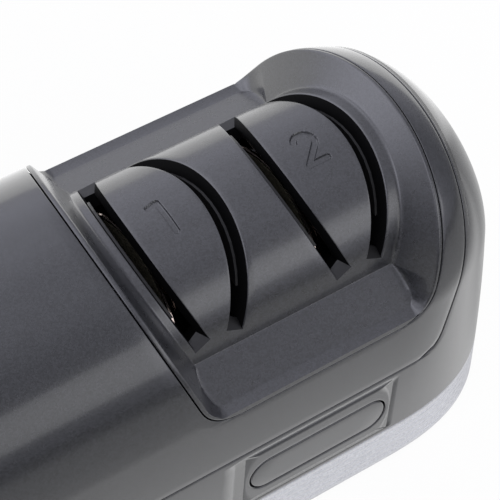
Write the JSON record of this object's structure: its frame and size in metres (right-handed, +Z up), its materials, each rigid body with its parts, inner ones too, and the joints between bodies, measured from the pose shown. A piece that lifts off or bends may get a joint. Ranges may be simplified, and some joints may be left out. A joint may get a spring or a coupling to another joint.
{
  "type": "electric knife sharpener",
  "caption": "Long rounded sharpener with a domed barrel, two slotted guide stages over spring-loaded grinding wheels, a badge plate and a silver foot band.",
  "frame": {"origin": "on the table plane, under the middle of the body", "axes": "+X along the body towards the sharpening stages, -Y the front with the badge and the switch, +Z up"},
  "size_m": [0.2108, 0.0872, 0.0854],
  "materials": {
    "housing": "dark metallic grey, satin gloss",
    "cover": "dark metallic grey, satin",
    "silver": "silver grey paint look",
    "black_plastic": "black, satin",
    "grey_plastic": "dark grey, matt",
    "rubber": "black, matt",
    "wheel_metal": "turned, copper coloured",
    "grit": "bonded abrasive, coarse",
    "steel": "bright",
    "bronze": "sintered bronze",
    "board": "green solder mask",
    "amber": "dipped"
  },
  "bodies": {
    "housing": {"guide_cover": "cover", "upper_housing": "housing", "lower_housing": "housing", "base_band": "silver", "base_plate": "grey_plastic", "badge_plate": "housing", "foot_1": "rubber", "base_screw_1": "steel", "foot_2": "rubber", "base_screw_2": "steel", "foot_3": "rubber", "base_screw_3": "steel", "foot_4": "rubber", "base_screw_4": "steel", "guide_plate_1_left": "black_plastic", "guide_plate_1_right": "black_plastic", "guide_plate_2_left": "black_plastic", "guide_plate_2_right": "black_plastic", "left_post": "steel", "left_bush": "bronze", "right_post": "steel", "right_bush": "bronze", "motor_can": "steel", "motor_end_cap": "black_plastic", "motor_cradle_rear": "grey_plastic", "motor_cradle_front": "grey_plastic", "circuit_board": "board", "suppressor_capacitor": "amber", "switch_housing": "black_plastic", "cord_inlet": "black_plastic", "tray_runner_left": "grey_plastic", "tray_runner_right": "grey_plastic"},
    "spindle": {"drive_shaft": "steel", "motor_shaft": "steel", "shaft_coupling": "black_plastic", "cooling_fan": "black_plastic", "collar_1": "steel", "collar_2": "steel", "clip_1_left": "steel", "clip_1_right": "steel", "clip_2_left": "steel", "clip_2_right": "steel", "spring_1_left": "steel", "spring_1_right": "steel", "spring_2_left": "steel", "spring_2_right": "steel"},
    "wheel_1_left_set": {"wheel_1_left": "wheel_metal", "grit_ring_1_left": "grit"},
    "wheel_1_right_set": {"wheel_1_right": "wheel_metal", "grit_ring_1_right": "grit"},
    "wheel_2_left_set": {"wheel_2_left": "wheel_metal", "grit_ring_2_left": "grit"},
    "wheel_2_right_set": {"wheel_2_right": "wheel_metal", "grit_ring_2_right": "grit"},
    "rocker": {"switch_rocker": "black_plastic"},
    "tray": {"filings_tray": "grey_plastic"}
  },
  "joints": [
    {"name": "spindle_spin", "type": "hinge", "parent": "housing", "child": "spindle", "pos_m": [0, 0, 0.052], "axis": [1, 0, 0], "continuous": true},
    {"name": "wheel_1_left_float", "type": "slide", "parent": "spindle", "child": "wheel_1_left_set", "axis": [1, 0, 0], "range_m": [0, 0.0012], "stiffness_N_per_m": 500, "deforming": ["spring_1_left"]},
    {"name": "wheel_1_right_float", "type": "slide", "parent": "spindle", "child": "wheel_1_right_set", "axis": [-1, 0, 0], "range_m": [0, 0.0012], "stiffness_N_per_m": 500, "deforming": ["spring_1_right"]},
    {"name": "wheel_2_left_float", "type": "slide", "parent": "spindle", "child": "wheel_2_left_set", "axis": [1, 0, 0], "range_m": [0, 0.0012], "stiffness_N_per_m": 500, "deforming": ["spring_2_left"]},
    {"name": "wheel_2_right_float", "type": "slide", "parent": "spindle", "child": "wheel_2_right_set", "axis": [-1, 0, 0], "range_m": [0, 0.0012], "stiffness_N_per_m": 500, "deforming": ["spring_2_right"]},
    {"name": "rocker_switch", "type": "hinge", "parent": "housing", "child": "rocker", "pos_m": [-0.042, -0.03771, 0.02624], "axis": [0, 0.1483, 0.9889], "range_deg": [0, 18]},
    {"name": "tray_draw", "type": "slide", "parent": "housing", "child": "tray", "axis": [0, 1, 0], "range_m": [0, 0.05]}
  ]
}
